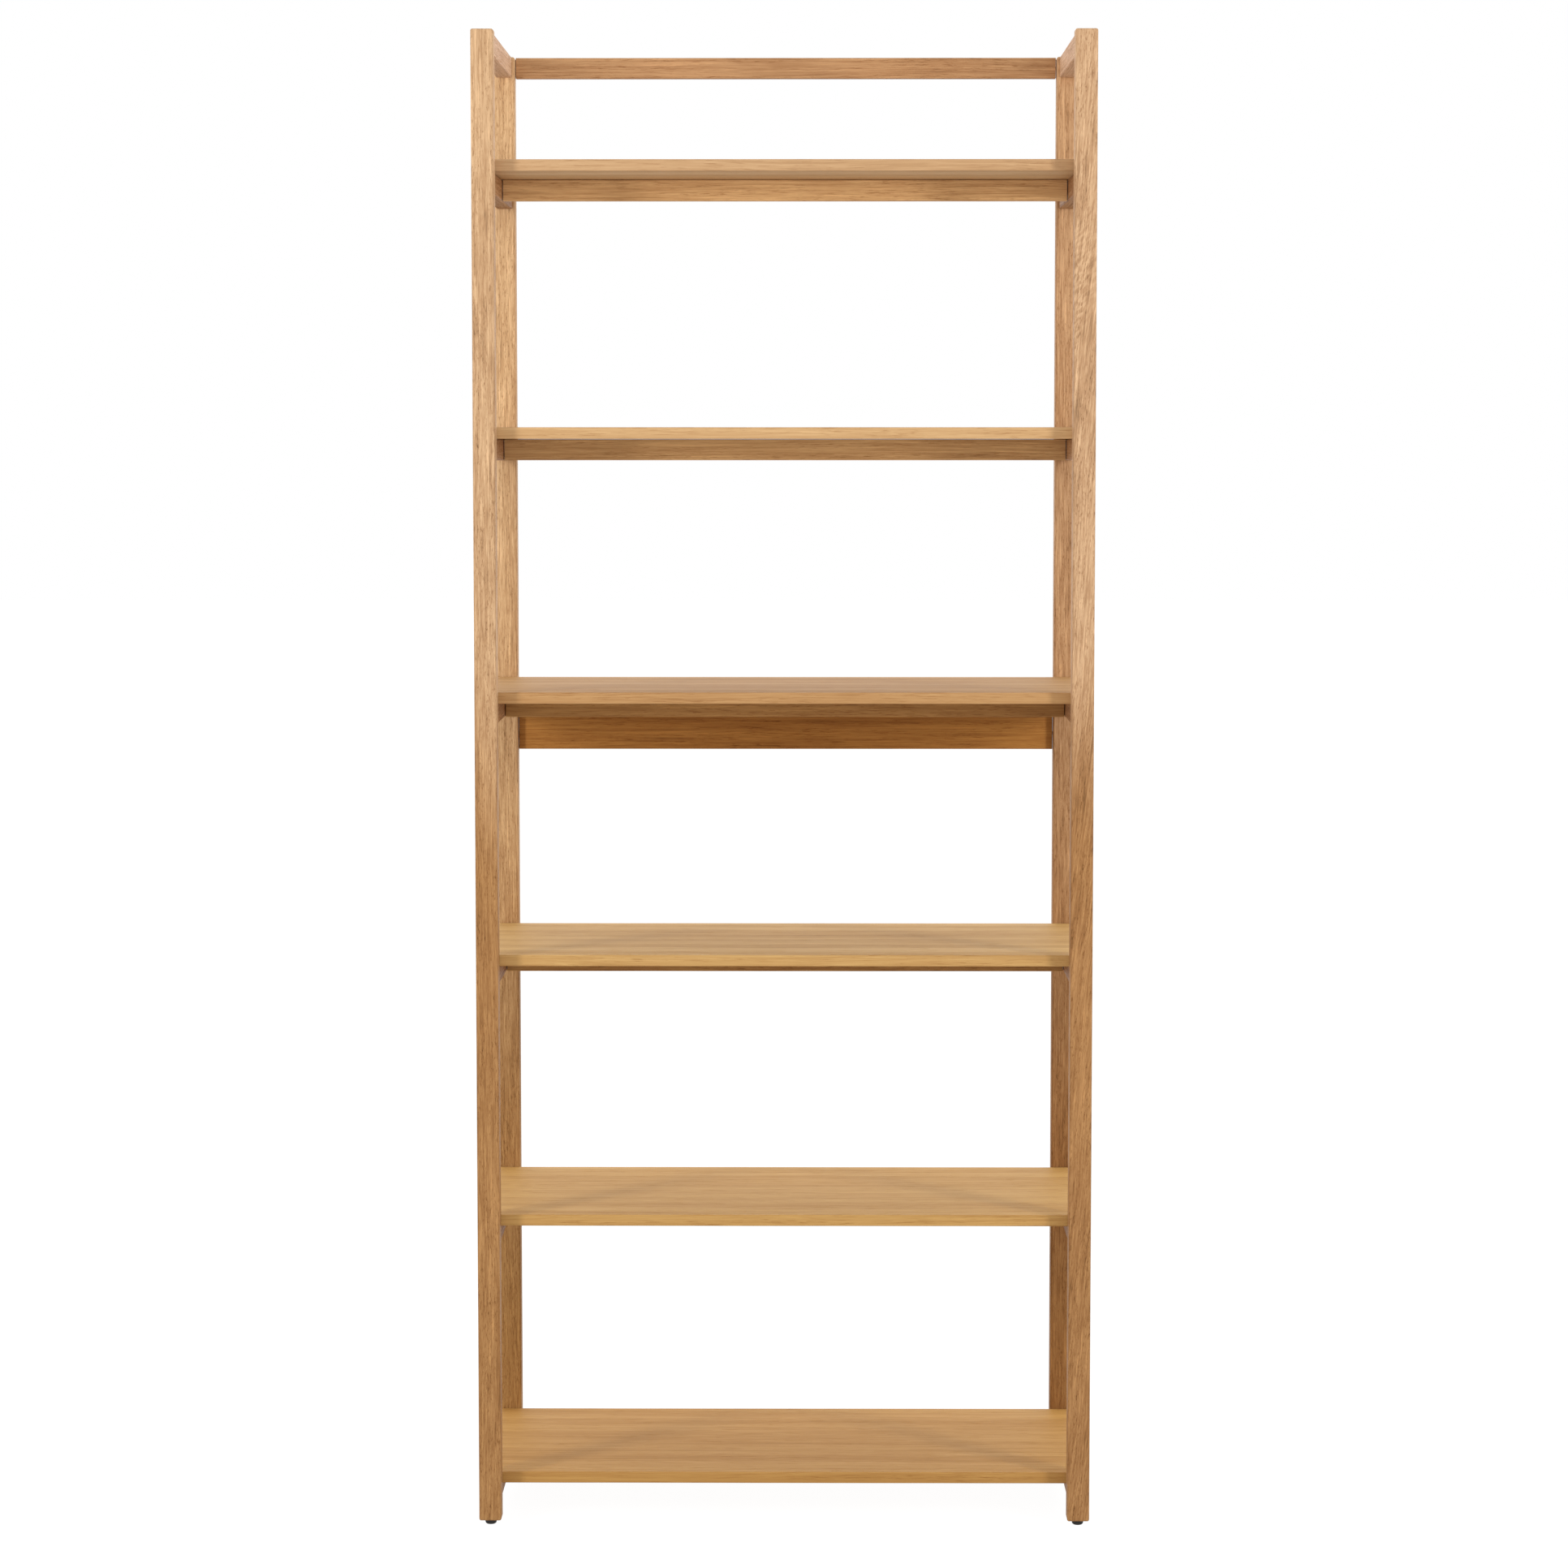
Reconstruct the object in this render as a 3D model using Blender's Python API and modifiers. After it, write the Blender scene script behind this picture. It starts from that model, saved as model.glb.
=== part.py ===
"""Open oak shelf unit: two ladder side frames that carry six boards, with rails, glides and fasteners.

Metres, +Z up. The front faces -Y and +X is to the right. The origin is on the floor, under the
middle of the unit. Shelves and their rails are numbered from the bottom up.
"""

import math

import bpy
from mathutils import Vector

# Overall size, outside the posts and from the floor to the post tops
WIDTH = 0.800
DEPTH = 0.400
HEIGHT = 1.943

# Fit between pieces that touch, and the visible joints of the pieces that fit between the frames
GAP = 0.0003
BATTEN_END_GAP = 0.0010
BACK_END_GAP = 0.0008

# Posts stand on glides
POST = 0.029
POST_BOTTOM = 0.007
EASED_EDGE = 0.0015

# Shelf boards lie on the side rails, between the front and rear posts
SHELF_COUNT = 6
FIRST_SHELF_TOP = 0.065
SHELF_PITCH = 0.343
SHELF_THICKNESS = 0.015
SHELF_END_INSET = 0.002
BOARD_EDGE = 0.0010

# Side rails join a front post to a rear post, and run centred on both
RAIL_HEIGHT = 0.028
RAIL_THICKNESS = 0.021
TENON_HEIGHT = 0.020
TENON_THICKNESS = 0.010
TENON_LENGTH = 0.015

# Batten under each board, at mid depth
BATTEN_THICKNESS = 0.017

# Rails across the back, flush with the rear faces of the posts
BACK_THICKNESS = 0.015
STRETCHER_HEIGHT = 0.086
STRETCHER_SHELF = 4

# Connector bolts through the rear posts into the rails across the back
BOLT_RADIUS = 0.0025
BOLT_HEAD_RADIUS = 0.0045
BOLT_HEAD_HEIGHT = 0.0035
BOLT_HEAD_DEPTH = 0.0010
BOLT_REACH = 0.022
BOLT_SOCKET = 0.0020
BOLT_POINT = 0.0010
STRETCHER_BOLT_INSET = 0.022

# Screws up through the side rails into the boards
SCREW_RADIUS = 0.0020
SCREW_HEAD_RADIUS = 0.0040
SCREW_HEAD_HEIGHT = 0.0030
SCREW_HEAD_DEPTH = 0.0010
SCREW_REACH = 0.009
SCREW_SOCKET = 0.0016
SCREW_POINT = 0.0015

# How much of a fastener's head its hex socket goes through
SOCKET_SHARE = 0.6

# Glides and the nails that hold them
GLIDE_RADIUS = 0.0075
GLIDE_FOOT_RADIUS = 0.0050
GLIDE_RIM = 0.0022
NAIL_RADIUS = 0.0011
NAIL_TOP = 0.024
NAIL_BOTTOM = 0.003
NAIL_POINT = 0.003

ROUND_STEPS = 16
PIN_STEPS = 12
HOLE_CLEARANCE = 0.0004

SIDES = {"left": -1, "right": 1}
ENDS = {"front": -1, "rear": 1}

POST_X = WIDTH / 2 - POST / 2
POST_Y = DEPTH / 2 - POST / 2
CLEAR_X = WIDTH / 2 - POST
CLEAR_Y = DEPTH / 2 - POST
BACK_Y = DEPTH / 2 - BACK_THICKNESS / 2
SHELVES = range(1, SHELF_COUNT + 1)


def remove_everything():
    for item in list(bpy.data.objects):
        bpy.data.objects.remove(item, do_unlink=True)
    for group in list(bpy.data.collections):
        bpy.data.collections.remove(group)


def new_collection(name):
    group = bpy.data.collections.new(name)
    bpy.context.scene.collection.children.link(group)
    return group


def new_material(name, colour, roughness, metallic=0.0):
    mat = bpy.data.materials.new(name)
    mat.use_nodes = True
    shader = mat.node_tree.nodes["Principled BSDF"]
    shader.inputs["Base Color"].default_value = (*colour, 1.0)
    shader.inputs["Roughness"].default_value = roughness
    shader.inputs["Metallic"].default_value = metallic
    mat.diffuse_color = (*colour, 1.0)
    return mat


remove_everything()
PARTS = new_collection("ladder_shelf")
CUTTERS = new_collection("cutters")

OAK_POST = new_material("oak_posts", (0.56, 0.36, 0.21), 0.55)
OAK_RAIL = new_material("oak_rails", (0.50, 0.30, 0.16), 0.55)
OAK_BOARD = new_material("oak_boards", (0.54, 0.33, 0.15), 0.50)
PLASTIC = new_material("black_plastic", (0.03, 0.025, 0.02), 0.60)
STEEL = new_material("zinc_steel", (0.55, 0.55, 0.56), 0.35, metallic=1.0)

ROOT = bpy.data.objects.new("ladder_shelf_origin", None)
PARTS.objects.link(ROOT)


def move_to(piece, group, parent=None):
    """Leaves a new object in one collection only, and hangs it on its parent."""
    for old in list(piece.users_collection):
        old.objects.unlink(piece)
    group.objects.link(piece)
    piece.parent = parent
    return piece


def as_cutter(piece, parent=None):
    move_to(piece, CUTTERS, parent)
    piece.hide_render = True
    piece.display_type = "WIRE"
    return piece


def block(name, low, high):
    """A plain box between two corners, with its scale applied."""
    low = Vector(low)
    high = Vector(high)
    bpy.ops.mesh.primitive_cube_add(size=1.0, location=(low + high) / 2)
    piece = bpy.context.object
    piece.name = name
    piece.data.name = name
    piece.scale = high - low
    bpy.ops.object.transform_apply(location=False, rotation=False, scale=True)
    return piece


def wooden(name, low, high, edge, mat):
    """A wooden bar or board with its edges eased."""
    piece = move_to(block(name, low, high), PARTS, ROOT)
    piece.data.materials.append(mat)
    bevel = piece.modifiers.new("eased_edges", "BEVEL")
    bevel.width = edge
    bevel.segments = 1
    return piece


def turned(name, profile, steps):
    """A round piece about its own Z: the profile is (radius, z) pairs, from its top to its bottom."""
    mesh = bpy.data.meshes.new(name)
    points = [(radius, 0.0, height) for radius, height in profile]
    edges = [(i, i + 1) for i in range(len(points) - 1)]
    mesh.from_pydata(points, edges, [])
    piece = bpy.data.objects.new(name, mesh)
    screw = piece.modifiers.new("turn", "SCREW")
    screw.steps = steps
    screw.render_steps = steps
    screw.use_merge_vertices = True
    screw.merge_threshold = 0.0001
    screw.use_smooth_shade = True
    return piece


def turned_part(name, profile, steps, mat, place, turn=(0.0, 0.0, 0.0)):
    piece = move_to(turned(name, profile, steps), PARTS, ROOT)
    piece.data.materials.append(mat)
    piece.location = place
    piece.rotation_euler = turn
    return piece


def turned_cutter(name, profile, steps, place, turn=(0.0, 0.0, 0.0)):
    piece = as_cutter(turned(name, profile, steps))
    piece.location = place
    piece.rotation_euler = turn
    return piece


def combine(piece, other, operation):
    step = piece.modifiers.new(operation.lower(), "BOOLEAN")
    step.operation = operation
    step.object = other
    step.solver = "EXACT"


def cut(piece, cutter):
    combine(piece, cutter, "DIFFERENCE")


def hex_socket(piece, radius, top, bottom):
    """A hexagonal socket in a fastener's head, given in the fastener's own frame."""
    profile = [(0.0, top), (radius, top), (radius, bottom), (0.0, bottom)]
    cutter = as_cutter(turned(piece.name + "_socket", profile, 6), parent=piece)
    cut(piece, cutter)


def shelf_top(n):
    return FIRST_SHELF_TOP + (n - 1) * SHELF_PITCH


def rail_top(n):
    """The rails and the batten under board n end one gap below it."""
    return shelf_top(n) - SHELF_THICKNESS - GAP


def rail_levels():
    """The top face of every side rail in one ladder frame, and the number in its name."""
    levels = {str(n): rail_top(n) for n in SHELVES}
    levels["top"] = HEIGHT
    return levels


def make_posts():
    posts = {}
    tenon_middle = RAIL_HEIGHT / 2
    for end, toward_rear in ENDS.items():
        for side, toward_right in SIDES.items():
            x = toward_right * POST_X
            y = toward_rear * POST_Y
            low = (x - POST / 2, y - POST / 2, POST_BOTTOM)
            high = (x + POST / 2, y + POST / 2, HEIGHT)
            post = wooden(f"{end}_post_{side}", low, high, EASED_EDGE, OAK_POST)
            inner_y = toward_rear * CLEAR_Y
            floor_y = toward_rear * (CLEAR_Y + TENON_LENGTH + GAP)
            mouth_y = inner_y - toward_rear * POST / 4
            for level, top in rail_levels().items():
                middle = top - tenon_middle
                half_x = TENON_THICKNESS / 2 + GAP
                half_z = TENON_HEIGHT / 2 + GAP
                low = (x - half_x, min(floor_y, mouth_y), middle - half_z)
                high = (x + half_x, max(floor_y, mouth_y), middle + half_z)
                mortise = as_cutter(block(f"mortise_{end}_{side}_{level}", low, high))
                cut(post, mortise)
            posts[end, side] = post
    return posts


def make_side_rails():
    """Each rail is one bar between the posts, joined to a thinner bar whose ends are its tenons."""
    rails = {}
    for side, toward_right in SIDES.items():
        x = toward_right * POST_X
        for level, top in rail_levels().items():
            name = f"top_side_rail_{side}" if level == "top" else f"side_rail_{side}_{level}"
            length = CLEAR_Y - GAP
            low = (x - RAIL_THICKNESS / 2, -length, top - RAIL_HEIGHT)
            high = (x + RAIL_THICKNESS / 2, length, top)
            rail = wooden(name, low, high, BOARD_EDGE, OAK_RAIL)
            middle = top - RAIL_HEIGHT / 2
            reach = CLEAR_Y + TENON_LENGTH
            low = (x - TENON_THICKNESS / 2, -reach, middle - TENON_HEIGHT / 2)
            high = (x + TENON_THICKNESS / 2, reach, middle + TENON_HEIGHT / 2)
            tenons = as_cutter(block(f"tenons_{side}_{level}", low, high))
            combine(rail, tenons, "UNION")
            rails[side, level] = rail
    return rails


def make_boards():
    boards = {}
    for n in SHELVES:
        half_x = WIDTH / 2 - SHELF_END_INSET
        half_y = CLEAR_Y - GAP
        low = (-half_x, -half_y, shelf_top(n) - SHELF_THICKNESS)
        high = (half_x, half_y, shelf_top(n))
        boards[n] = wooden(f"shelf_{n}", low, high, BOARD_EDGE, OAK_BOARD)
    return boards


def make_battens():
    half_x = POST_X - RAIL_THICKNESS / 2 - BATTEN_END_GAP
    half_y = BATTEN_THICKNESS / 2
    for n in SHELVES:
        low = (-half_x, -half_y, rail_top(n) - RAIL_HEIGHT)
        high = (half_x, half_y, rail_top(n))
        wooden(f"shelf_batten_{n}", low, high, BOARD_EDGE, OAK_RAIL)


def back_bar(name, top, height):
    half_x = CLEAR_X - BACK_END_GAP
    low = (-half_x, DEPTH / 2 - BACK_THICKNESS, top - height)
    high = (half_x, DEPTH / 2, top)
    return wooden(name, low, high, BOARD_EDGE, OAK_RAIL)


def stepped(radius, head_radius, head, tip, seat, point=0.0):
    """Profile of a fastener, or of the hole for one: a pin up to tip, over a wider head below seat."""
    return [
        (0.0, tip),
        (radius - point / 2, tip),
        (radius, tip - point),
        (radius, seat),
        (head_radius, seat),
        (head_radius, head),
        (0.0, head),
    ]


def add_bolt(name, post, rail, side, z):
    """A socket-head bolt from a rear post's outer face into the end of a rail across the back."""
    toward_right = SIDES[side]
    place = (toward_right * WIDTH / 2, BACK_Y, z)
    turn = (0.0, -toward_right * math.pi / 2, 0.0)
    seat = BOLT_HEAD_DEPTH + BOLT_HEAD_HEIGHT
    tip = POST + BOLT_REACH
    profile = stepped(BOLT_RADIUS, BOLT_HEAD_RADIUS, BOLT_HEAD_DEPTH, tip, seat, BOLT_POINT)
    bolt = turned_part(name, profile, ROUND_STEPS, STEEL, place, turn)
    hex_socket(bolt, BOLT_SOCKET, BOLT_HEAD_DEPTH + SOCKET_SHARE * BOLT_HEAD_HEIGHT, 0.0)
    hole = stepped(
        BOLT_RADIUS + HOLE_CLEARANCE,
        BOLT_HEAD_RADIUS + HOLE_CLEARANCE,
        -BOLT_HEAD_DEPTH,
        tip + GAP,
        seat + GAP,
    )
    cutter = turned_cutter(name + "_hole", hole, ROUND_STEPS, place, turn)
    cut(post, cutter)
    cut(rail, cutter)


def make_back(posts):
    back_rail = back_bar("top_back_rail", HEIGHT, RAIL_HEIGHT)
    stretcher_top = rail_top(STRETCHER_SHELF)
    stretcher = back_bar("rear_stretcher", stretcher_top, STRETCHER_HEIGHT)
    upper = stretcher_top - STRETCHER_BOLT_INSET
    lower = stretcher_top - STRETCHER_HEIGHT + STRETCHER_BOLT_INSET
    for side in SIDES:
        post = posts["rear", side]
        add_bolt(f"back_rail_bolt_{side}", post, back_rail, side, HEIGHT - RAIL_HEIGHT / 2)
        add_bolt(f"stretcher_bolt_upper_{side}", post, stretcher, side, upper)
        add_bolt(f"stretcher_bolt_lower_{side}", post, stretcher, side, lower)


def make_shelf_screws(rails, boards):
    """One screw goes up through the middle of each side rail into the board that it carries."""
    for side, toward_right in SIDES.items():
        for n in SHELVES:
            place = (toward_right * POST_X, 0.0, rail_top(n) - RAIL_HEIGHT)
            seat = SCREW_HEAD_DEPTH + SCREW_HEAD_HEIGHT
            tip = RAIL_HEIGHT + GAP + SCREW_REACH
            profile = stepped(
                SCREW_RADIUS, SCREW_HEAD_RADIUS, SCREW_HEAD_DEPTH, tip, seat, SCREW_POINT
            )
            screw = turned_part(f"shelf_screw_{side}_{n}", profile, PIN_STEPS, STEEL, place)
            hex_socket(screw, SCREW_SOCKET, SCREW_HEAD_DEPTH + SOCKET_SHARE * SCREW_HEAD_HEIGHT, 0.0)
            hole = stepped(
                SCREW_RADIUS + HOLE_CLEARANCE,
                SCREW_HEAD_RADIUS + HOLE_CLEARANCE,
                -SCREW_HEAD_DEPTH,
                tip + GAP,
                seat + GAP,
            )
            cutter = turned_cutter(f"screw_hole_{side}_{n}", hole, PIN_STEPS, place)
            cut(rails[side, str(n)], cutter)
            cut(boards[n], cutter)


def make_glides(posts):
    """A tapered plastic glide under each post, on a nail driven up into the end grain."""
    top = POST_BOTTOM - GAP
    body = [
        (0.0, top),
        (GLIDE_RADIUS, top),
        (GLIDE_RADIUS, top - GLIDE_RIM),
        ((GLIDE_RADIUS + GLIDE_FOOT_RADIUS) / 2, GLIDE_RIM / 2),
        (GLIDE_FOOT_RADIUS, 0.0),
        (0.0, 0.0),
    ]
    nail = [
        (0.0, NAIL_TOP),
        (NAIL_RADIUS, NAIL_TOP - NAIL_POINT),
        (NAIL_RADIUS, NAIL_BOTTOM),
        (0.0, NAIL_BOTTOM),
    ]
    hole_radius = NAIL_RADIUS + HOLE_CLEARANCE
    hole = [
        (0.0, NAIL_TOP + GAP),
        (hole_radius, NAIL_TOP + GAP),
        (hole_radius, NAIL_BOTTOM - GAP),
        (0.0, NAIL_BOTTOM - GAP),
    ]
    for (end, side), post in posts.items():
        place = (SIDES[side] * POST_X, ENDS[end] * POST_Y, 0.0)
        glide = turned_part(f"glide_{end}_{side}", body, ROUND_STEPS, PLASTIC, place)
        turned_part(f"glide_nail_{end}_{side}", nail, PIN_STEPS, STEEL, place)
        cutter = turned_cutter(f"nail_hole_{end}_{side}", hole, PIN_STEPS, place)
        cut(glide, cutter)
        cut(post, cutter)


POSTS = make_posts()
RAILS = make_side_rails()
BOARDS = make_boards()
make_battens()
make_back(POSTS)
make_shelf_screws(RAILS, BOARDS)
make_glides(POSTS)
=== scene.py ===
"""Looks of the oak ladder shelf: timber with real grain, glides, fasteners, light and camera.

Everything is in metres in the frame of the CAD model. Every timber piece is made in its own
frame, with its grain along local X, and is placed where its CAD node is.
"""

import math
from typing import NamedTuple

import bmesh
import bpy
from mathutils import Matrix, Vector, noise


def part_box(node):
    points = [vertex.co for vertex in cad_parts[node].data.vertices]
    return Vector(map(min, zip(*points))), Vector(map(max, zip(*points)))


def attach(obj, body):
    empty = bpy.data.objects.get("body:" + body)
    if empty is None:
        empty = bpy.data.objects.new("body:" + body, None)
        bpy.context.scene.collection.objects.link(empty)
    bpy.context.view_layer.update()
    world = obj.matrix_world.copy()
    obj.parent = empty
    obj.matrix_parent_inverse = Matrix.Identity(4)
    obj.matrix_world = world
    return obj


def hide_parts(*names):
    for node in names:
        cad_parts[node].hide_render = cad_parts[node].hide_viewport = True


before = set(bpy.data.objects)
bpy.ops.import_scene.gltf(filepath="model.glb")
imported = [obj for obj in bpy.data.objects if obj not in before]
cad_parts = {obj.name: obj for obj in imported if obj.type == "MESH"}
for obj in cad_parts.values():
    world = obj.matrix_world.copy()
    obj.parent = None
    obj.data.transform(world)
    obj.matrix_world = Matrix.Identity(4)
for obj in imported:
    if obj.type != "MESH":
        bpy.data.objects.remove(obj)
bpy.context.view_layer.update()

BODY = "root"
SIDES = ("left", "right")
SHELVES = range(1, 7)

# Timber: how far the arrises are rounded, and how uneven a planed face is. The ends of pieces that
# meet another closely have a smaller arris.
POST_ARRIS = 0.0025
RAIL_ARRIS = 0.0012
BOARD_ARRIS = 0.0012
TENON_ARRIS = 0.0004
CLOSE_ARRIS = 0.0005
ARRIS_STEPS = 3
STATION_SPACING = 0.04
UNEVENNESS = 0.00012
SHARP_ANGLE = math.radians(40.0)

# The arrises along a piece are a little rounder than those of its ends, and unevenly so
LONG_ARRIS = 1.15
LONG_ARRIS_SWING = 0.25

# Joints between the side rails and the posts
TENON_THICKNESS = 0.010
TENON_HEIGHT = 0.020
SLIP = 0.0003

# Directions of the grain: the columns are the world directions of a piece's local X, Y and Z
UPRIGHT = Matrix(((0, 1, 0), (0, 0, 1), (1, 0, 0)))
ACROSS = Matrix(((1, 0, 0), (0, 1, 0), (0, 0, 1)))
BACKWARD = Matrix(((0, -1, 0), (1, 0, 0), (0, 0, 1)))


class Wobble(NamedTuple):
    """Noise along a piece: cells per metre, the step from one seed to the next, and its own row."""

    cells: float
    step: float
    row: float


DIP_WOBBLE = Wobble(cells=9.0, step=1.7, row=0.3)
RUB_WOBBLE = Wobble(cells=14.0, step=2.3, row=5.1)


class Fastener(NamedTuple):
    """Sizes of a bolt or a screw: three radii, then the heights of its head and of its point."""

    shank: float
    head: float
    socket: float
    head_height: float
    point: float


BOLT = Fastener(shank=0.0025, head=0.0045, socket=0.0020, head_height=0.0035, point=0.0010)
SCREW = Fastener(shank=0.0020, head=0.0040, socket=0.0016, head_height=0.0030, point=0.0015)
HEAD_CHAMFER = 0.0006

# How much of a head its hex socket goes through
SOCKET_SHARE = 0.6

NAIL_RADIUS = 0.0011
NAIL_POINT = 0.003
HOLE_CLEARANCE = 0.0004

# How far a cutter stands out of the face that it opens
OUTSIDE = 0.003
TURN_STEPS = 36

# A glide's dome below its rim: shares of its height and of its radius
GLIDE_CHAMFER = 0.0004
GLIDE_DOME = ((0.50, 1.0), (0.30, 0.965), (0.14, 0.87), (0.04, 0.74), (0.0, 0.62))

# Which part of the tree a piece is cut from
POST_SEED = 11
SIDE_RAIL_SEED = {"left": 21, "right": 31}
BOARD_SEED = 40
BATTEN_SEED = 50
BACK_RAIL_SEED = 61
STRETCHER_SEED = 62

# Light from the room, by where it comes from: in front of the unit, then behind it
OVERHEAD_LIGHT = ((0.60, 0.60, 0.59, 1.0), (1.7, 1.7, 1.68, 1.0))
HIGH_LIGHT = ((0.60, 0.60, 0.59, 1.0), (1.6, 1.6, 1.6, 1.0))
LOW_LIGHT = ((0.88, 0.87, 0.85, 1.0), (0.55, 0.54, 0.52, 1.0))

# A soft box on each side, in front
KEY_PLACE = (2.4, -2.3, 1.8)
KEY_TARGET = (0.0, 0.0, 1.4)
KEY_WIDTH = 0.5
KEY_HEIGHT = 1.2
KEY_POWER = 46.0
KEY_COLOUR = (1.0, 0.985, 0.96)

# Floor
FLOOR_REACH = 30.0
FLOOR_COLOUR = (0.08, 0.08, 0.08, 1.0)
FLOOR_GLOW = 0.965

# Camera: looks at the front, a little down and a little to the left
SENSOR_WIDTH = 36.0
LENS = 89.87
SHIFT_Y = -0.022
CAMERA_PLACE = (0.028, -5.2377, 1.4169)
CAMERA_TILT = math.radians(90.0 - 4.48)
CAMERA_PAN = math.radians(0.32)


# ---------------------------------------------------------------- node helpers


WHITE = (1.0, 1.0, 1.0, 1.0)

# A Mix node's inputs: one factor for every data type, then a pair of sockets for each
MIX_FACTOR = 0
MIX_COLOURS = (6, 7)
MIX_RESULT = 2


class Graph:
    """Short forms for building a material's or the world's node tree."""

    def __init__(self, owner):
        owner.use_nodes = True
        self.tree = owner.node_tree
        self.tree.nodes.clear()

    def set(self, socket, value):
        if isinstance(value, bpy.types.NodeSocket):
            self.tree.links.new(value, socket)
        else:
            socket.default_value = value

    def node(self, kind, inputs=None, **settings):
        made = self.tree.nodes.new(kind)
        for key, value in settings.items():
            setattr(made, key, value)
        for key, value in (inputs or {}).items():
            self.set(made.inputs[key], value)
        return made

    def math(self, operation, first, second=0.0, clamp=False):
        made = self.node("ShaderNodeMath", {0: first, 1: second}, operation=operation)
        made.use_clamp = clamp
        return made.outputs[0]

    def vector(self, operation, first, second):
        made = self.node("ShaderNodeVectorMath", {0: first, 1: second}, operation=operation)
        return made.outputs[0]

    def turn(self, vector, angle):
        """The vector turned about Z."""
        inputs = {"Vector": vector, "Axis": (0.0, 0.0, 1.0), "Angle": angle}
        return self.node("ShaderNodeVectorRotate", inputs).outputs[0]

    def join(self, x, y, z):
        return self.node("ShaderNodeCombineXYZ", {0: x, 1: y, 2: z}).outputs[0]

    def between(self, value, low, high):
        """0 where value is at low, 1 where it is at high, and smooth between."""
        made = self.node(
            "ShaderNodeMapRange",
            {"Value": value, "From Min": low, "From Max": high},
            interpolation_type="SMOOTHSTEP",
        )
        return made.outputs[0]

    def noise(self, vector, detail=2.0, roughness=0.5):
        made = self.node(
            "ShaderNodeTexNoise",
            {"Vector": vector, "Scale": 1.0, "Detail": detail, "Roughness": roughness},
        )
        return made.outputs["Fac"]

    def swing(self, layer, weight):
        """A layer of noise, moved to swing about zero, times its weight."""
        return self.math("MULTIPLY", self.math("SUBTRACT", layer, 0.5), weight)

    def mix(self, share, first, second, blend="MIX"):
        made = self.node("ShaderNodeMix", data_type="RGBA", blend_type=blend)
        self.set(made.inputs[MIX_FACTOR], share)
        self.set(made.inputs[MIX_COLOURS[0]], first)
        self.set(made.inputs[MIX_COLOURS[1]], second)
        return made.outputs[MIX_RESULT]

    def tinted(self, colour, share, tint):
        """The colour, times the tint where share is 1."""
        return self.mix(1.0, colour, self.mix(share, WHITE, (*tint, 1.0)), "MULTIPLY")

    def principled(self, colour, roughness, height, strength, distance):
        """A Principled shader on the output, with a bump; height is the bump's layer."""
        inputs = {"Height": height, "Strength": strength, "Distance": distance}
        bump = self.node("ShaderNodeBump", inputs)
        inputs = {"Base Color": colour, "Roughness": roughness, "Normal": bump.outputs[0]}
        shader = self.node("ShaderNodeBsdfPrincipled", inputs)
        self.node("ShaderNodeOutputMaterial", {"Surface": shader.outputs[0]})
        return shader


# ---------------------------------------------------------------- materials


# Pores are darker and redder than the wood, dark wood is redder and pale wood yellower
PORE_TINT = (0.66, 0.55, 0.44)
DARK_TINT = (1.04, 0.965, 0.90, 1.0)
PALE_TINT = (0.99, 1.012, 1.03, 1.0)

# Steps through the noise from one seed to the next, in metres
SEED_STEP = (3.17, 0.731, 1.193)

# Ray fleck: its angle to the grain, its cells per metre, and how softly its span starts and ends
RAY_ANGLE = 1.0
RAY_CELLS = (280.0, 80.0, 80.0)
RAY_FADE = 0.03
RAY_STRENGTH = 0.4

# Where the painted shade on a board's front edge ends, as shares of the board's depth
FRONT_EDGE_SHADE_SPAN = (0.006, 0.002)


class PaintedSheenAndLight(NamedTuple):
    """Painted sheen and light on a post: how it turns paler and less yellow upwards; the tint, and
    the span it sets in over.
    """

    tint: tuple
    start: float
    end: float


class Look(NamedTuple):
    """How one kind of oak looks.

    figure is how far the grain wanders in metres, strands is the strength of the long streaks,
    pores that of the short dark ones, and stretch lengthens both. The field after specular is
    painted sheen and light: how the colour turns paler and whiter along the piece. slant is the
    angle at which the grain runs out of its side, rays is the span of its length that shows ray
    fleck, and the last field is painted shade: a darker tint on a board's front edge.
    """

    figure: float
    strands: float
    pores: float
    stretch: float
    roughness: float
    specular: float
    tan: PaintedSheenAndLight = None
    slant: float = 0.0
    rays: tuple = None
    painted_front_edge_shade: tuple = None


def place_in_tree(g, point, seed, look):
    """The point, moved by the seed, turned by the slant and bent by the figure."""
    steps = [g.math("MULTIPLY", seed, step) for step in SEED_STEP]
    point = g.vector("ADD", point, g.join(*steps))
    if look.slant:
        point = g.turn(point, look.slant)

    # the grain wanders off the piece's length: slowly by a few millimetres, and quickly by a little
    bent = point
    slow = (2.2, 9.0, look.figure)
    quick = (14.0, 60.0, look.figure * 0.09)
    for along, across, reach in (slow, quick):
        cells = g.vector("MULTIPLY", point, (along, across, across))
        drift = g.node("ShaderNodeTexNoise", {"Vector": cells, "Scale": 1.0})
        sway = g.vector("SUBTRACT", drift.outputs["Color"], (0.5, 0.5, 0.5))
        bent = g.vector("ADD", bent, g.vector("MULTIPLY", sway, (0.0, reach, reach)))
    return bent


def ray_fleck(g, bent, length, broad, span):
    """Slanting fleck over a span of the length, where the broad layer is high."""
    start, end = span
    flake = g.noise(g.vector("MULTIPLY", g.turn(bent, RAY_ANGLE), RAY_CELLS))
    begun = g.between(length, start - RAY_FADE, start + RAY_FADE)
    ended = g.between(length, end - RAY_FADE, end + RAY_FADE)
    inside = g.math("MULTIPLY", begun, g.math("SUBTRACT", 1.0, ended))
    patch = g.math("MULTIPLY", inside, g.between(broad, 0.35, 0.6))
    return g.math("MULTIPLY", g.swing(g.between(flake, 0.38, 0.62), RAY_STRENGTH), patch)


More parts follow.
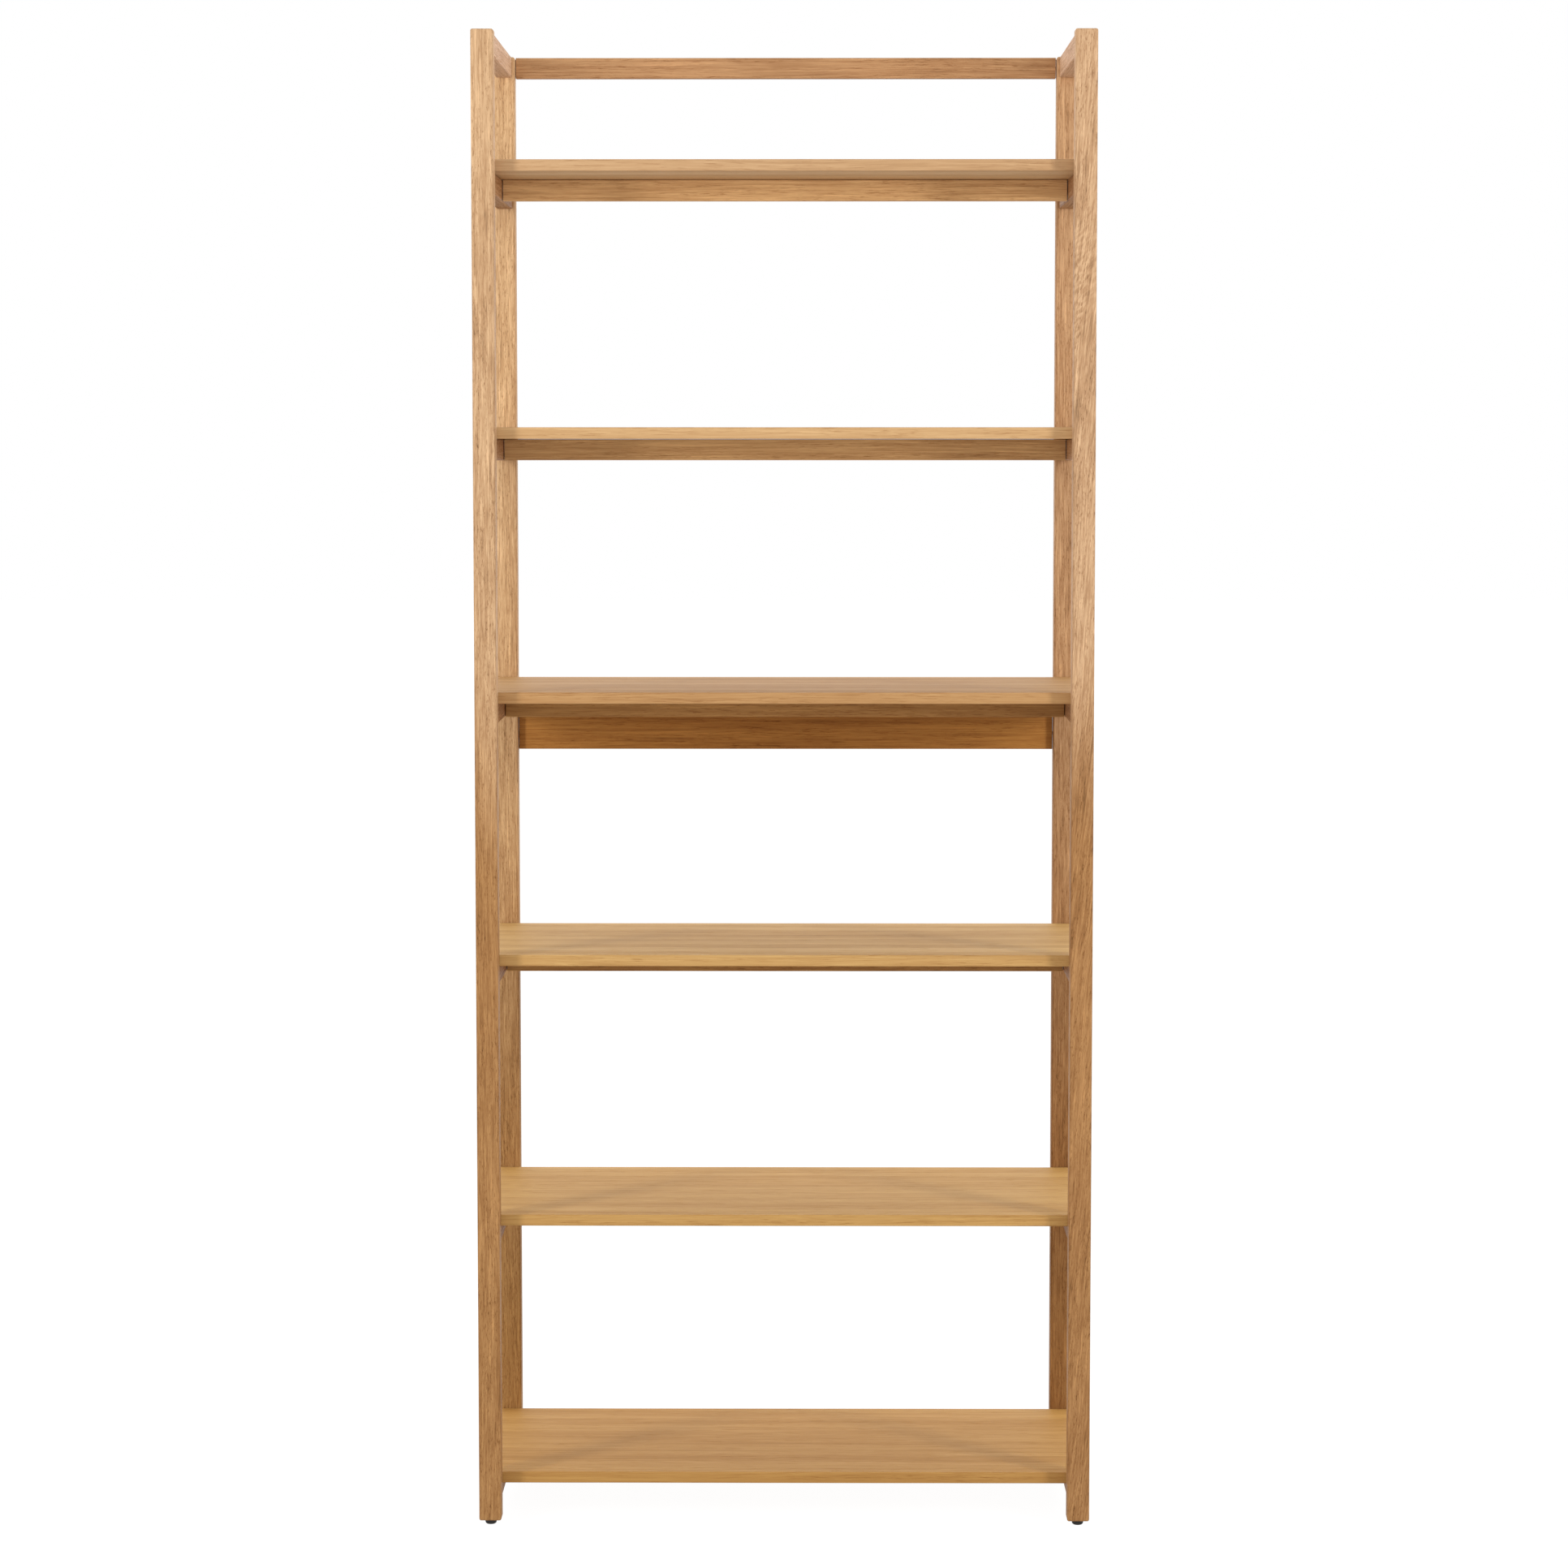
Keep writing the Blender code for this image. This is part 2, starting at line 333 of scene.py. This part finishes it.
def oak(name, look):
    """Oiled oak. Grain runs along local X, and a piece's pass_index is its seed.

    The body colour is the piece's object colour. For several pieces it holds painted light and
    shade as well as the wood's tone.
    """
    mat = bpy.data.materials.new(name)
    g = Graph(mat)
    coords = g.node("ShaderNodeTexCoord")
    piece = g.node("ShaderNodeObjectInfo")
    generated = g.node("ShaderNodeSeparateXYZ", {0: coords.outputs["Generated"]})
    length = generated.outputs[0]
    depth = generated.outputs[1]
    bent = place_in_tree(g, coords.outputs["Object"], piece.outputs["Object Index"], look)

    def grain(along, across, detail=2.0, roughness=0.5):
        """Noise stretched along the piece: cells per metre along and across the grain."""
        cells = (along / look.stretch, across, across)
        return g.noise(g.vector("MULTIPLY", bent, cells), detail, roughness)

    broad = grain(1.6, 26.0, 1.0)
    band = grain(4.0, 110.0)
    strand = grain(11.0, 400.0, 3.0, 0.65)
    dash = grain(60.0, 1000.0, 3.0, 0.6)
    dark_line = g.between(grain(12.0, 420.0, 1.0), 0.56, 0.72)
    pale_line = g.between(grain(9.0, 480.0, 1.0), 0.54, 0.68)
    pore_bed = g.between(grain(6.0, 160.0, 1.0), 0.30, 0.62)
    pore = g.math("MULTIPLY", g.between(grain(70.0, 900.0, 3.0, 0.6), 0.55, 0.64), pore_bed)

    tone = g.math("ADD", 0.5, g.swing(broad, 0.7))
    for layer, weight in ((band, 0.5), (strand, 1.5), (dash, 0.7)):
        tone = g.math("ADD", tone, g.swing(layer, weight * look.strands))
    tone = g.math("SUBTRACT", tone, g.math("MULTIPLY", dark_line, 0.16 * look.strands))
    tone = g.math("ADD", tone, g.math("MULTIPLY", pale_line, 0.26 * look.strands))
    tone = g.math("SUBTRACT", tone, g.math("MULTIPLY", pore, 0.26 * look.pores))
    if look.rays:
        tone = g.math("ADD", tone, ray_fleck(g, bent, length, broad, look.rays))

    body = piece.outputs["Color"]
    # Painted sheen and light: the colour turns paler and whiter along the piece, towards a post's
    # top
    if look.tan:
        height = g.math("ADD", length, g.swing(broad, 0.12))
        body = g.tinted(body, g.between(height, look.tan.start, look.tan.end), look.tan.tint)
    # Painted shade: a board's front edge is darker than its top
    if look.painted_front_edge_shade:
        body = g.tinted(body, g.between(depth, *FRONT_EDGE_SHADE_SPAN), look.painted_front_edge_shade)

    lightness = g.math("ADD", 0.62, g.math("MULTIPLY", tone, 0.76))
    channels = {0: lightness, 1: lightness, 2: lightness}
    shade = g.node("ShaderNodeCombineColor", channels).outputs[0]
    colour = g.mix(1.0, body, shade, "MULTIPLY")
    colour = g.tinted(colour, g.math("MULTIPLY", pore, 0.5), PORE_TINT)
    warmth = g.mix(g.between(tone, 0.25, 0.75), DARK_TINT, PALE_TINT)
    colour = g.mix(1.0, colour, warmth, "MULTIPLY")

    rough = g.math("ADD", look.roughness, g.swing(tone, -0.2))
    rough = g.math("ADD", rough, g.math("MULTIPLY", pore, 0.15), clamp=True)
    relief = g.math("SUBTRACT", g.math("MULTIPLY", strand, 0.5), pore)
    relief = g.math("SUBTRACT", relief, g.math("MULTIPLY", dark_line, 0.3))
    shader = g.principled(colour, rough, relief, strength=0.35, distance=0.00025)
    shader.inputs["Specular IOR Level"].default_value = look.specular
    return mat


def moulded_plastic():
    """Matte black-brown plastic with a fine spark-eroded texture."""
    mat = bpy.data.materials.new("glide_plastic")
    g = Graph(mat)
    point = g.node("ShaderNodeTexCoord").outputs["Object"]
    speckle = g.noise(g.vector("MULTIPLY", point, (2600.0, 2600.0, 2600.0)), 2.0)
    scuff = g.noise(g.vector("MULTIPLY", point, (300.0, 300.0, 300.0)), 3.0)
    colour = g.mix(scuff, (0.007, 0.005, 0.004, 1.0), (0.017, 0.013, 0.011, 1.0))
    rough = g.math("ADD", 0.48, g.math("MULTIPLY", scuff, 0.2))
    g.principled(colour, rough, speckle, strength=0.3, distance=0.0001)
    return mat


def zinc_steel():
    """Zinc-plated steel: bright, faintly mottled, with turning marks."""
    mat = bpy.data.materials.new("zinc_steel")
    g = Graph(mat)
    point = g.node("ShaderNodeTexCoord").outputs["Object"]
    mottle = g.noise(g.vector("MULTIPLY", point, (900.0, 900.0, 900.0)), 3.0)
    marks = g.noise(g.vector("MULTIPLY", point, (300.0, 300.0, 9000.0)), 1.0)
    colour = g.mix(mottle, (0.46, 0.46, 0.47, 1.0), (0.66, 0.66, 0.65, 1.0))
    rough = g.math("ADD", 0.24, g.math("MULTIPLY", mottle, 0.22))
    shader = g.principled(colour, rough, marks, strength=0.15, distance=0.00005)
    shader.inputs["Metallic"].default_value = 1.0
    return mat


FRONT_LOOK = Look(
    figure=0.010,
    strands=1.15,
    pores=1.4,
    stretch=0.5,
    roughness=0.50,
    specular=0.08,
    # painted sheen and light: the post is paler and whiter towards its top
    tan=PaintedSheenAndLight((1.47, 1.82, 2.65), start=0.43, end=0.63),
)
REAR_LOOK = FRONT_LOOK._replace(
    pores=1.2,
    # painted sheen and light: the rear posts turn paler and whiter over most of their height
    tan=PaintedSheenAndLight((1.78, 2.24, 3.60), start=0.06, end=0.78),
)
FLECKED_LOOK = FRONT_LOOK._replace(figure=0.030, slant=-0.09, rays=(0.77, 0.91))
RAIL_LOOK = Look(
    figure=0.012, strands=0.9, pores=0.8, stretch=1.2, roughness=0.56, specular=0.20
)
BOARD_LOOK = Look(
    figure=0.020,
    strands=0.5,
    pores=0.3,
    stretch=2.2,
    roughness=0.56,
    specular=0.10,
    # painted shade on the board's front edge
    painted_front_edge_shade=(0.945, 0.92, 0.95),
)

POST_OAK = oak("post_oak", FRONT_LOOK)
REAR_OAK = oak("rear_oak", REAR_LOOK)
FLECKED_OAK = oak("flecked_oak", FLECKED_LOOK)
RAIL_OAK = oak("rail_oak", RAIL_LOOK)
BOARD_OAK = oak("board_oak", BOARD_LOOK)
PLASTIC = moulded_plastic()
STEEL = zinc_steel()


# ---------------------------------------------------------------- timber


# Body colour of each piece: a post's is that of its foot, and boards and battens run from the
# lowest to the highest. The rear right post's colour is darker for painted shade.
POST_TONE_AND_SHADE = {
    ("front", "left"): (0.345, 0.177, 0.068),
    ("front", "right"): (0.340, 0.173, 0.068),
    ("rear", "left"): (0.325, 0.168, 0.057),
    ("rear", "right"): (0.260, 0.122, 0.040),
}
POST_TIMBER = {
    ("front", "left"): POST_OAK,
    ("front", "right"): FLECKED_OAK,
    ("rear", "left"): REAR_OAK,
    ("rear", "right"): REAR_OAK,
}
# Painted shade darkens the side rails under the shelves, and a painted sheen makes the top side
# rails paler
SHADED_SIDE_RAIL_TONE = (0.36, 0.185, 0.080)
SHEEN_TOP_RAIL_TONE = (0.54, 0.34, 0.21)
# The boards' tone with painted light: the higher boards are mostly paler and whiter
BOARD_TONE_AND_LIGHT = (
    (0.445, 0.243, 0.071),
    (0.49, 0.287, 0.094),
    (0.54, 0.335, 0.124),
    (0.47, 0.275, 0.114),
    (0.56, 0.36, 0.170),
    (0.56, 0.37, 0.195),
)
# Painted shade: the lower four battens, in the shade of their shelves, are darker than the top two
BATTEN_TONE_AND_SHADE = (
    (0.37, 0.19, 0.060),
    (0.37, 0.19, 0.060),
    (0.37, 0.19, 0.060),
    (0.37, 0.19, 0.060),
    (0.49, 0.29, 0.125),
    (0.54, 0.32, 0.143),
)
BACK_RAIL_TONE = (0.45, 0.25, 0.12)
# Painted shade: the stretcher, under the shelf above it, is darker and redder
SHADED_STRETCHER_TONE = (0.38, 0.168, 0.035)


def ring(half_width, half_height, corner):
    """Points of a rectangle with round corners, in the plane across a piece."""
    points = []
    for quarter in range(4):
        middle = math.pi / 4 + quarter * math.pi / 2
        centre_y = math.copysign(half_width - corner, math.cos(middle))
        centre_z = math.copysign(half_height - corner, math.sin(middle))
        for step in range(ARRIS_STEPS + 1):
            angle = quarter * math.pi / 2 + step * math.pi / 2 / ARRIS_STEPS
            y = centre_y + corner * math.cos(angle)
            z = centre_z + corner * math.sin(angle)
            points.append((y, z))
    return points


def loft(name, rows):
    """A closed mesh through rows of points, which all have the same count."""
    bm = bmesh.new()
    rings = [[bm.verts.new(point) for point in row] for row in rows]
    count = len(rows[0])
    for before, after in zip(rings, rings[1:]):
        for i in range(count):
            j = (i + 1) % count
            bm.faces.new((before[i], before[j], after[j], after[i]))
    bm.faces.new(rings[0])
    bm.faces.new(rings[-1])
    bmesh.ops.recalc_face_normals(bm, faces=bm.faces)
    mesh = bpy.data.meshes.new(name)
    bm.to_mesh(mesh)
    bm.free()
    return mesh


def bar_mesh(name, stations):
    """A bar along X through stations: each is (x, half width, half height, corner radius)."""
    rows = []
    for x, half_width, half_height, corner in stations:
        rows.append([(x, y, z) for y, z in ring(half_width, half_height, corner)])
    return loft(name, rows)


def turned_mesh(name, rows):
    """A turned piece along Z through rows: each is (z, radius, how many sides, or 0 if round)."""
    rings = []
    for z, radius, sides in rows:
        points = []
        for i in range(TURN_STEPS):
            angle = 2 * math.pi * i / TURN_STEPS
            reach = radius
            if sides:
                part = 2 * math.pi / sides
                reach = radius * math.cos(part / 2) / math.cos(angle % part - part / 2)
            points.append((reach * math.cos(angle), reach * math.sin(angle), z))
        rings.append(points)
    return loft(name, rings)


def end_stations(x, inward, half_width, half_height, arris, end_arris=None):
    """Stations that round a bar's end over: from the end face inwards."""
    corner = arris * LONG_ARRIS
    end_arris = end_arris or arris
    made = []
    for step in range(ARRIS_STEPS + 1):
        angle = step * math.pi / 2 / ARRIS_STEPS
        inset = end_arris * (1 - math.sin(angle))
        depth = end_arris * (1 - math.cos(angle))
        made.append((x + inward * depth, half_width - inset, half_height - inset, corner - inset))
    return made


def wobble(kind, x, seed):
    """Smooth noise from -1 to 1 at x along a piece."""
    return noise.noise(Vector((x * kind.cells, seed * kind.step, kind.row)))


def bar_stations(start, end, half_width, half_height, arris, seed, end_arris=None):
    """A planed bar: rounded ends, and faces that dip by up to UNEVENNESS between them."""
    first = end_stations(start, 1, half_width, half_height, arris, end_arris)
    last = end_stations(end, -1, half_width, half_height, arris, end_arris)
    count = max(2, round((end - start) / STATION_SPACING))
    middle = []
    for i in range(1, count):
        x = start + (end - start) * i / count
        dip = UNEVENNESS * (0.5 + 0.5 * wobble(DIP_WOBBLE, x, seed))
        rub = arris * (LONG_ARRIS + LONG_ARRIS_SWING * wobble(RUB_WOBBLE, x, seed))
        middle.append((x, half_width - dip, half_height - dip, rub))
    return first + middle + last[::-1]


def tenon_stations(end, shoulder):
    """A tenon from its end face to the shoulder of its rail."""
    half_thickness = TENON_THICKNESS / 2
    half_height = TENON_HEIGHT / 2
    inward = 1 if shoulder > end else -1
    made = end_stations(end, inward, half_thickness, half_height, TENON_ARRIS)
    return made + [(shoulder, half_thickness, half_height, TENON_ARRIS)]


# ---------------------------------------------------------------- holes


def fastener_line(node):
    """Where a bolt, a screw or a nail starts, at its head, and where its tip is."""
    low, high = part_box(node)
    centre = (low + high) / 2
    if "bolt" in node:
        outer, inner = sorted((low.x, high.x), key=abs, reverse=True)
        return Vector((outer, centre.y, centre.z)), Vector((inner, centre.y, centre.z))
    return Vector((centre.x, centre.y, low.z)), Vector((centre.x, centre.y, high.z))


def along_line(start, end):
    """The frame at start whose Z points to end."""
    turn = (end - start).to_track_quat("Z", "Y").to_matrix().to_4x4()
    return Matrix.Translation(start) @ turn


def cutter(mesh, place):
    made = bpy.data.objects.new("cutter", mesh)
    made.matrix_world = place
    return made


def fastener_hole(node, kind):
    """A recess for the head, open to the outside, and a bore for the shank."""
    head, tip = fastener_line(node)
    seat = kind.head_height + SLIP
    rows = [
        (-OUTSIDE, kind.head + HOLE_CLEARANCE, 0),
        (seat, kind.head + HOLE_CLEARANCE, 0),
        (seat, kind.shank + HOLE_CLEARANCE, 0),
        ((tip - head).length + SLIP, kind.shank + HOLE_CLEARANCE, 0),
    ]
    return cutter(turned_mesh("cutter", rows), along_line(head, tip))


def nail_hole(node):
    head, tip = fastener_line(node)
    radius = NAIL_RADIUS + HOLE_CLEARANCE
    rows = [(-OUTSIDE, radius, 0), ((tip - head).length + SLIP, radius, 0)]
    return cutter(turned_mesh("cutter", rows), along_line(head, tip))


def mortise(rail, inner_face):
    """The hole for a side rail's tenon, from a little outside the post's inner face."""
    low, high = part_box(rail)
    centre = (low + high) / 2
    inward = 1 if inner_face < centre.y else -1
    end = low.y if inward == 1 else high.y
    stations = [
        (y, TENON_THICKNESS / 2 + SLIP, TENON_HEIGHT / 2 + SLIP, TENON_ARRIS)
        for y in sorted((end - inward * SLIP, inner_face + inward * OUTSIDE))
    ]
    place = Matrix.Translation((centre.x, 0.0, centre.z)) @ BACKWARD.to_4x4()
    return cutter(bar_mesh("cutter", stations), place)


def carve(piece, cutters):
    """Cuts the holes, keeps the result in the mesh, and removes the cutters."""
    for tool in cutters:
        bpy.context.scene.collection.objects.link(tool)
        step = piece.modifiers.new("carve", "BOOLEAN")
        step.object = tool
        step.operation = "DIFFERENCE"
        step.solver = "EXACT"
    graph = bpy.context.evaluated_depsgraph_get()
    result = bpy.data.meshes.new_from_object(piece.evaluated_get(graph))
    piece.modifiers.clear()
    piece.data = result
    for tool in cutters:
        bpy.data.objects.remove(tool, do_unlink=True)


# ---------------------------------------------------------------- pieces


def declare(piece, node):
    """Smooth shading within the faces and over the arrises, and what the piece stands for."""
    piece.data.shade_smooth()
    piece.data.set_sharp_from_angle(angle=SHARP_ANGLE)
    weighted = piece.modifiers.new("even_shading", "WEIGHTED_NORMAL")
    weighted.keep_sharp = True
    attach(piece, BODY)
    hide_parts(node)


def timber(node, stations, material, place, seed, colour, cutters=()):
    """A piece of timber of one body colour, with its holes."""
    mesh = bar_mesh(node + "_timber", stations)
    mesh.materials.append(material)
    piece = bpy.data.objects.new(node + "_timber", mesh)
    bpy.context.scene.collection.objects.link(piece)
    piece.matrix_world = place
    piece.pass_index = seed
    piece.color = (*colour, 1.0)
    if cutters:
        carve(piece, cutters)
    declare(piece, node)


def turned(node, rows, material):
    """A turned piece on the line of its CAD node."""
    mesh = turned_mesh(node + "_turned", rows)
    mesh.materials.append(material)
    piece = bpy.data.objects.new(node + "_turned", mesh)
    bpy.context.scene.collection.objects.link(piece)
    piece.matrix_world = along_line(*fastener_line(node))
    declare(piece, node)


def side_rails(side):
    return [f"side_rail_{side}_{n}" for n in SHELVES] + [f"top_side_rail_{side}"]


def stretcher_bolts(side):
    return [f"stretcher_bolt_{level}_{side}" for level in ("upper", "lower")]


def make_posts():
    ends = [(end, side) for end in ("front", "rear") for side in SIDES]
    for seed, (end, side) in enumerate(ends, start=POST_SEED):
        node = f"{end}_post_{side}"
        low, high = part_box(node)
        size = high - low
        centre = (low + high) / 2
        inner_face = high.y if end == "front" else low.y
        cutters = [mortise(rail, inner_face) for rail in side_rails(side)]
        cutters.append(nail_hole(f"glide_nail_{end}_{side}"))
        if end == "rear":
            bolts = [f"back_rail_bolt_{side}"] + stretcher_bolts(side)
            cutters += [fastener_hole(bolt, BOLT) for bolt in bolts]
        timber(
            node,
            bar_stations(0.0, size.z, size.x / 2, size.y / 2, POST_ARRIS, seed),
            POST_TIMBER[end, side],
            Matrix.Translation((centre.x, centre.y, low.z)) @ UPRIGHT.to_4x4(),
            seed,
            POST_TONE_AND_SHADE[end, side],
            cutters,
        )


def make_side_rails():
    for side, first_seed in SIDE_RAIL_SEED.items():
        front_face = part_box(f"front_post_{side}")[1].y + SLIP
        rear_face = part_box(f"rear_post_{side}")[0].y - SLIP
        for number, node in enumerate(side_rails(side)):
            low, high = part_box(node)
            size = high - low
            centre = (low + high) / 2
            seed = first_seed + number
            body = bar_stations(
                front_face, rear_face, size.x / 2, size.z / 2, RAIL_ARRIS, seed, CLOSE_ARRIS
            )
            front_tenon = tenon_stations(low.y, front_face)
            rear_tenon = tenon_stations(high.y, rear_face)
            screws = [f"shelf_screw_{side}_{number + 1}"] if number + 1 in SHELVES else []
            timber(
                node,
                front_tenon + body + rear_tenon[::-1],
                RAIL_OAK,
                Matrix.Translation((centre.x, 0.0, centre.z)) @ BACKWARD.to_4x4(),
                seed,
                SHADED_SIDE_RAIL_TONE if screws else SHEEN_TOP_RAIL_TONE,
                [fastener_hole(screw, SCREW) for screw in screws],
            )


def level_bar(node, material, arris, seed, tone, cutters=()):
    """A board, batten or rail whose grain runs across the unit."""
    low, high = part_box(node)
    size = high - low
    centre = (low + high) / 2
    stations = bar_stations(0.0, size.x, size.y / 2, size.z / 2, arris, seed, CLOSE_ARRIS)
    place = Matrix.Translation((low.x, centre.y, centre.z)) @ ACROSS.to_4x4()
    timber(node, stations, material, place, seed, tone, cutters)


def make_boards():
    for n in SHELVES:
        screws = [fastener_hole(f"shelf_screw_{side}_{n}", SCREW) for side in SIDES]
        level_bar(
            f"shelf_{n}",
            BOARD_OAK,
            BOARD_ARRIS,
            BOARD_SEED + n,
            BOARD_TONE_AND_LIGHT[n - 1],
            screws,
        )
        level_bar(
            f"shelf_batten_{n}",
            RAIL_OAK,
            RAIL_ARRIS,
            BATTEN_SEED + n,
            BATTEN_TONE_AND_SHADE[n - 1],
        )


def make_back():
    rail_bolts = [fastener_hole(f"back_rail_bolt_{side}", BOLT) for side in SIDES]
    level_bar(
        "top_back_rail",
        RAIL_OAK,
        RAIL_ARRIS,
        BACK_RAIL_SEED,
        BACK_RAIL_TONE,
        rail_bolts,
    )
    bolts = [fastener_hole(bolt, BOLT) for side in SIDES for bolt in stretcher_bolts(side)]
    level_bar(
        "rear_stretcher",
        RAIL_OAK,
        RAIL_ARRIS,
        STRETCHER_SEED,
        SHADED_STRETCHER_TONE,
        bolts,
    )


def make_fastener(node, kind):
    """A socket-head bolt or screw: from the bottom of its socket, over its head, to its tip."""
    head, tip = fastener_line(node)
    length = (tip - head).length
    rows = [
        (SOCKET_SHARE * kind.head_height, kind.socket, 6),
        (0.0, kind.socket, 6),
        (0.0, kind.head - HEAD_CHAMFER, 0),
        (HEAD_CHAMFER, kind.head, 0),
        (kind.head_height, kind.head, 0),
        (kind.head_height, kind.shank, 0),
        (length - kind.point, kind.shank, 0),
        (length, kind.shank / 2, 0),
    ]
    turned(node, rows, STEEL)


def make_glide(end, side):
    """A domed plastic glide that is moulded round its nail."""
    node = f"glide_{end}_{side}"
    nail = f"glide_nail_{end}_{side}"
    low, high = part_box(node)
    height = high.z - low.z
    radius = (high.x - low.x) / 2
    nail_head, nail_tip = fastener_line(nail)
    bore = NAIL_RADIUS + HOLE_CLEARANCE / 4
    rows = [
        (nail_head.z - SLIP, bore, 0),
        (height, bore, 0),
        (height, radius - GLIDE_CHAMFER, 0),
        (height - GLIDE_CHAMFER, radius, 0),
    ]
    rows += [(level * height, reach * radius, 0) for level, reach in GLIDE_DOME]
    turned(node, rows, PLASTIC)
    length = nail_tip.z - nail_head.z
    nail_rows = [
        (0.0, NAIL_RADIUS, 0),
        (length - NAIL_POINT, NAIL_RADIUS, 0),
        (length, NAIL_RADIUS / 6, 0),
    ]
    turned(nail, nail_rows, STEEL)


make_posts()
make_side_rails()
make_boards()
make_back()
for side in SIDES:
    for end in ("front", "rear"):
        make_glide(end, side)
    for bolt in [f"back_rail_bolt_{side}"] + stretcher_bolts(side):
        make_fastener(bolt, BOLT)
    for n in SHELVES:
        make_fastener(f"shelf_screw_{side}_{n}", SCREW)


# ---------------------------------------------------------------- room, light and camera


def make_floor():
    """A pale floor. It shows only to the camera, so the light from below stays soft and dim."""
    mesh = bpy.data.meshes.new("floor")
    bm = bmesh.new()
    bmesh.ops.create_grid(bm, x_segments=1, y_segments=1, size=FLOOR_REACH)
    bm.to_mesh(mesh)
    bm.free()
    floor = bpy.data.objects.new("floor", mesh)
    bpy.context.scene.collection.objects.link(floor)
    mat = bpy.data.materials.new("pale_floor")
    g = Graph(mat)
    matt = g.node("ShaderNodeBsdfDiffuse", {"Color": FLOOR_COLOUR})
    glow = g.node("ShaderNodeEmission", {"Color": WHITE, "Strength": FLOOR_GLOW})
    both = g.node("ShaderNodeAddShader", {0: matt.outputs[0], 1: glow.outputs[0]})
    g.node("ShaderNodeOutputMaterial", {"Surface": both.outputs[0]})
    mesh.materials.append(mat)
    floor.visible_diffuse = False
    floor.visible_glossy = False


def make_world():
    """Soft light that depends on where it comes from. The camera sees plain white."""
    world = bpy.data.worlds.new("studio")
    bpy.context.scene.world = world
    g = Graph(world)
    coords = g.node("ShaderNodeTexCoord").outputs["Generated"]
    way = g.node("ShaderNodeSeparateXYZ", {0: coords})
    behind = g.between(way.outputs[1], -0.5, 0.6)
    height = g.between(way.outputs[2], -0.7, 0.6)
    overhead = g.between(way.outputs[2], 0.2, 0.75)
    room = g.mix(height, g.mix(behind, *LOW_LIGHT), g.mix(behind, *HIGH_LIGHT))
    room = g.mix(overhead, room, g.mix(behind, *OVERHEAD_LIGHT))
    seen = g.node("ShaderNodeLightPath").outputs["Is Camera Ray"]
    colour = g.mix(seen, room, WHITE)
    background = g.node("ShaderNodeBackground", {"Color": colour, "Strength": 1.0})
    g.node("ShaderNodeOutputWorld", {"Surface": background.outputs[0]})


def soft_box(side, toward_right):
    """A rectangular light that stands upright on one side."""
    name = f"key_{side}"
    data = bpy.data.lights.new(name, "AREA")
    data.shape = "RECTANGLE"
    data.size = KEY_WIDTH
    data.size_y = KEY_HEIGHT
    data.energy = KEY_POWER
    data.color = KEY_COLOUR
    lamp = bpy.data.objects.new(name, data)
    x, y, z = KEY_PLACE
    lamp.location = (toward_right * x, y, z)
    aim = Vector(KEY_TARGET) - lamp.location
    lamp.rotation_mode = "QUATERNION"
    lamp.rotation_quaternion = aim.to_track_quat("-Z", "Y")
    bpy.context.scene.collection.objects.link(lamp)


def make_camera():
    data = bpy.data.cameras.new("camera")
    data.sensor_width = SENSOR_WIDTH
    data.lens = LENS
    data.shift_y = SHIFT_Y
    camera = bpy.data.objects.new("camera", data)
    camera.location = CAMERA_PLACE
    camera.rotation_euler = (CAMERA_TILT, 0.0, CAMERA_PAN)
    bpy.context.scene.collection.objects.link(camera)
    bpy.context.scene.camera = camera


make_floor()
make_world()
soft_box("left", -1)
soft_box("right", 1)
make_camera()

view = bpy.context.scene.view_settings
view.view_transform = "Standard"
view.look = "None"
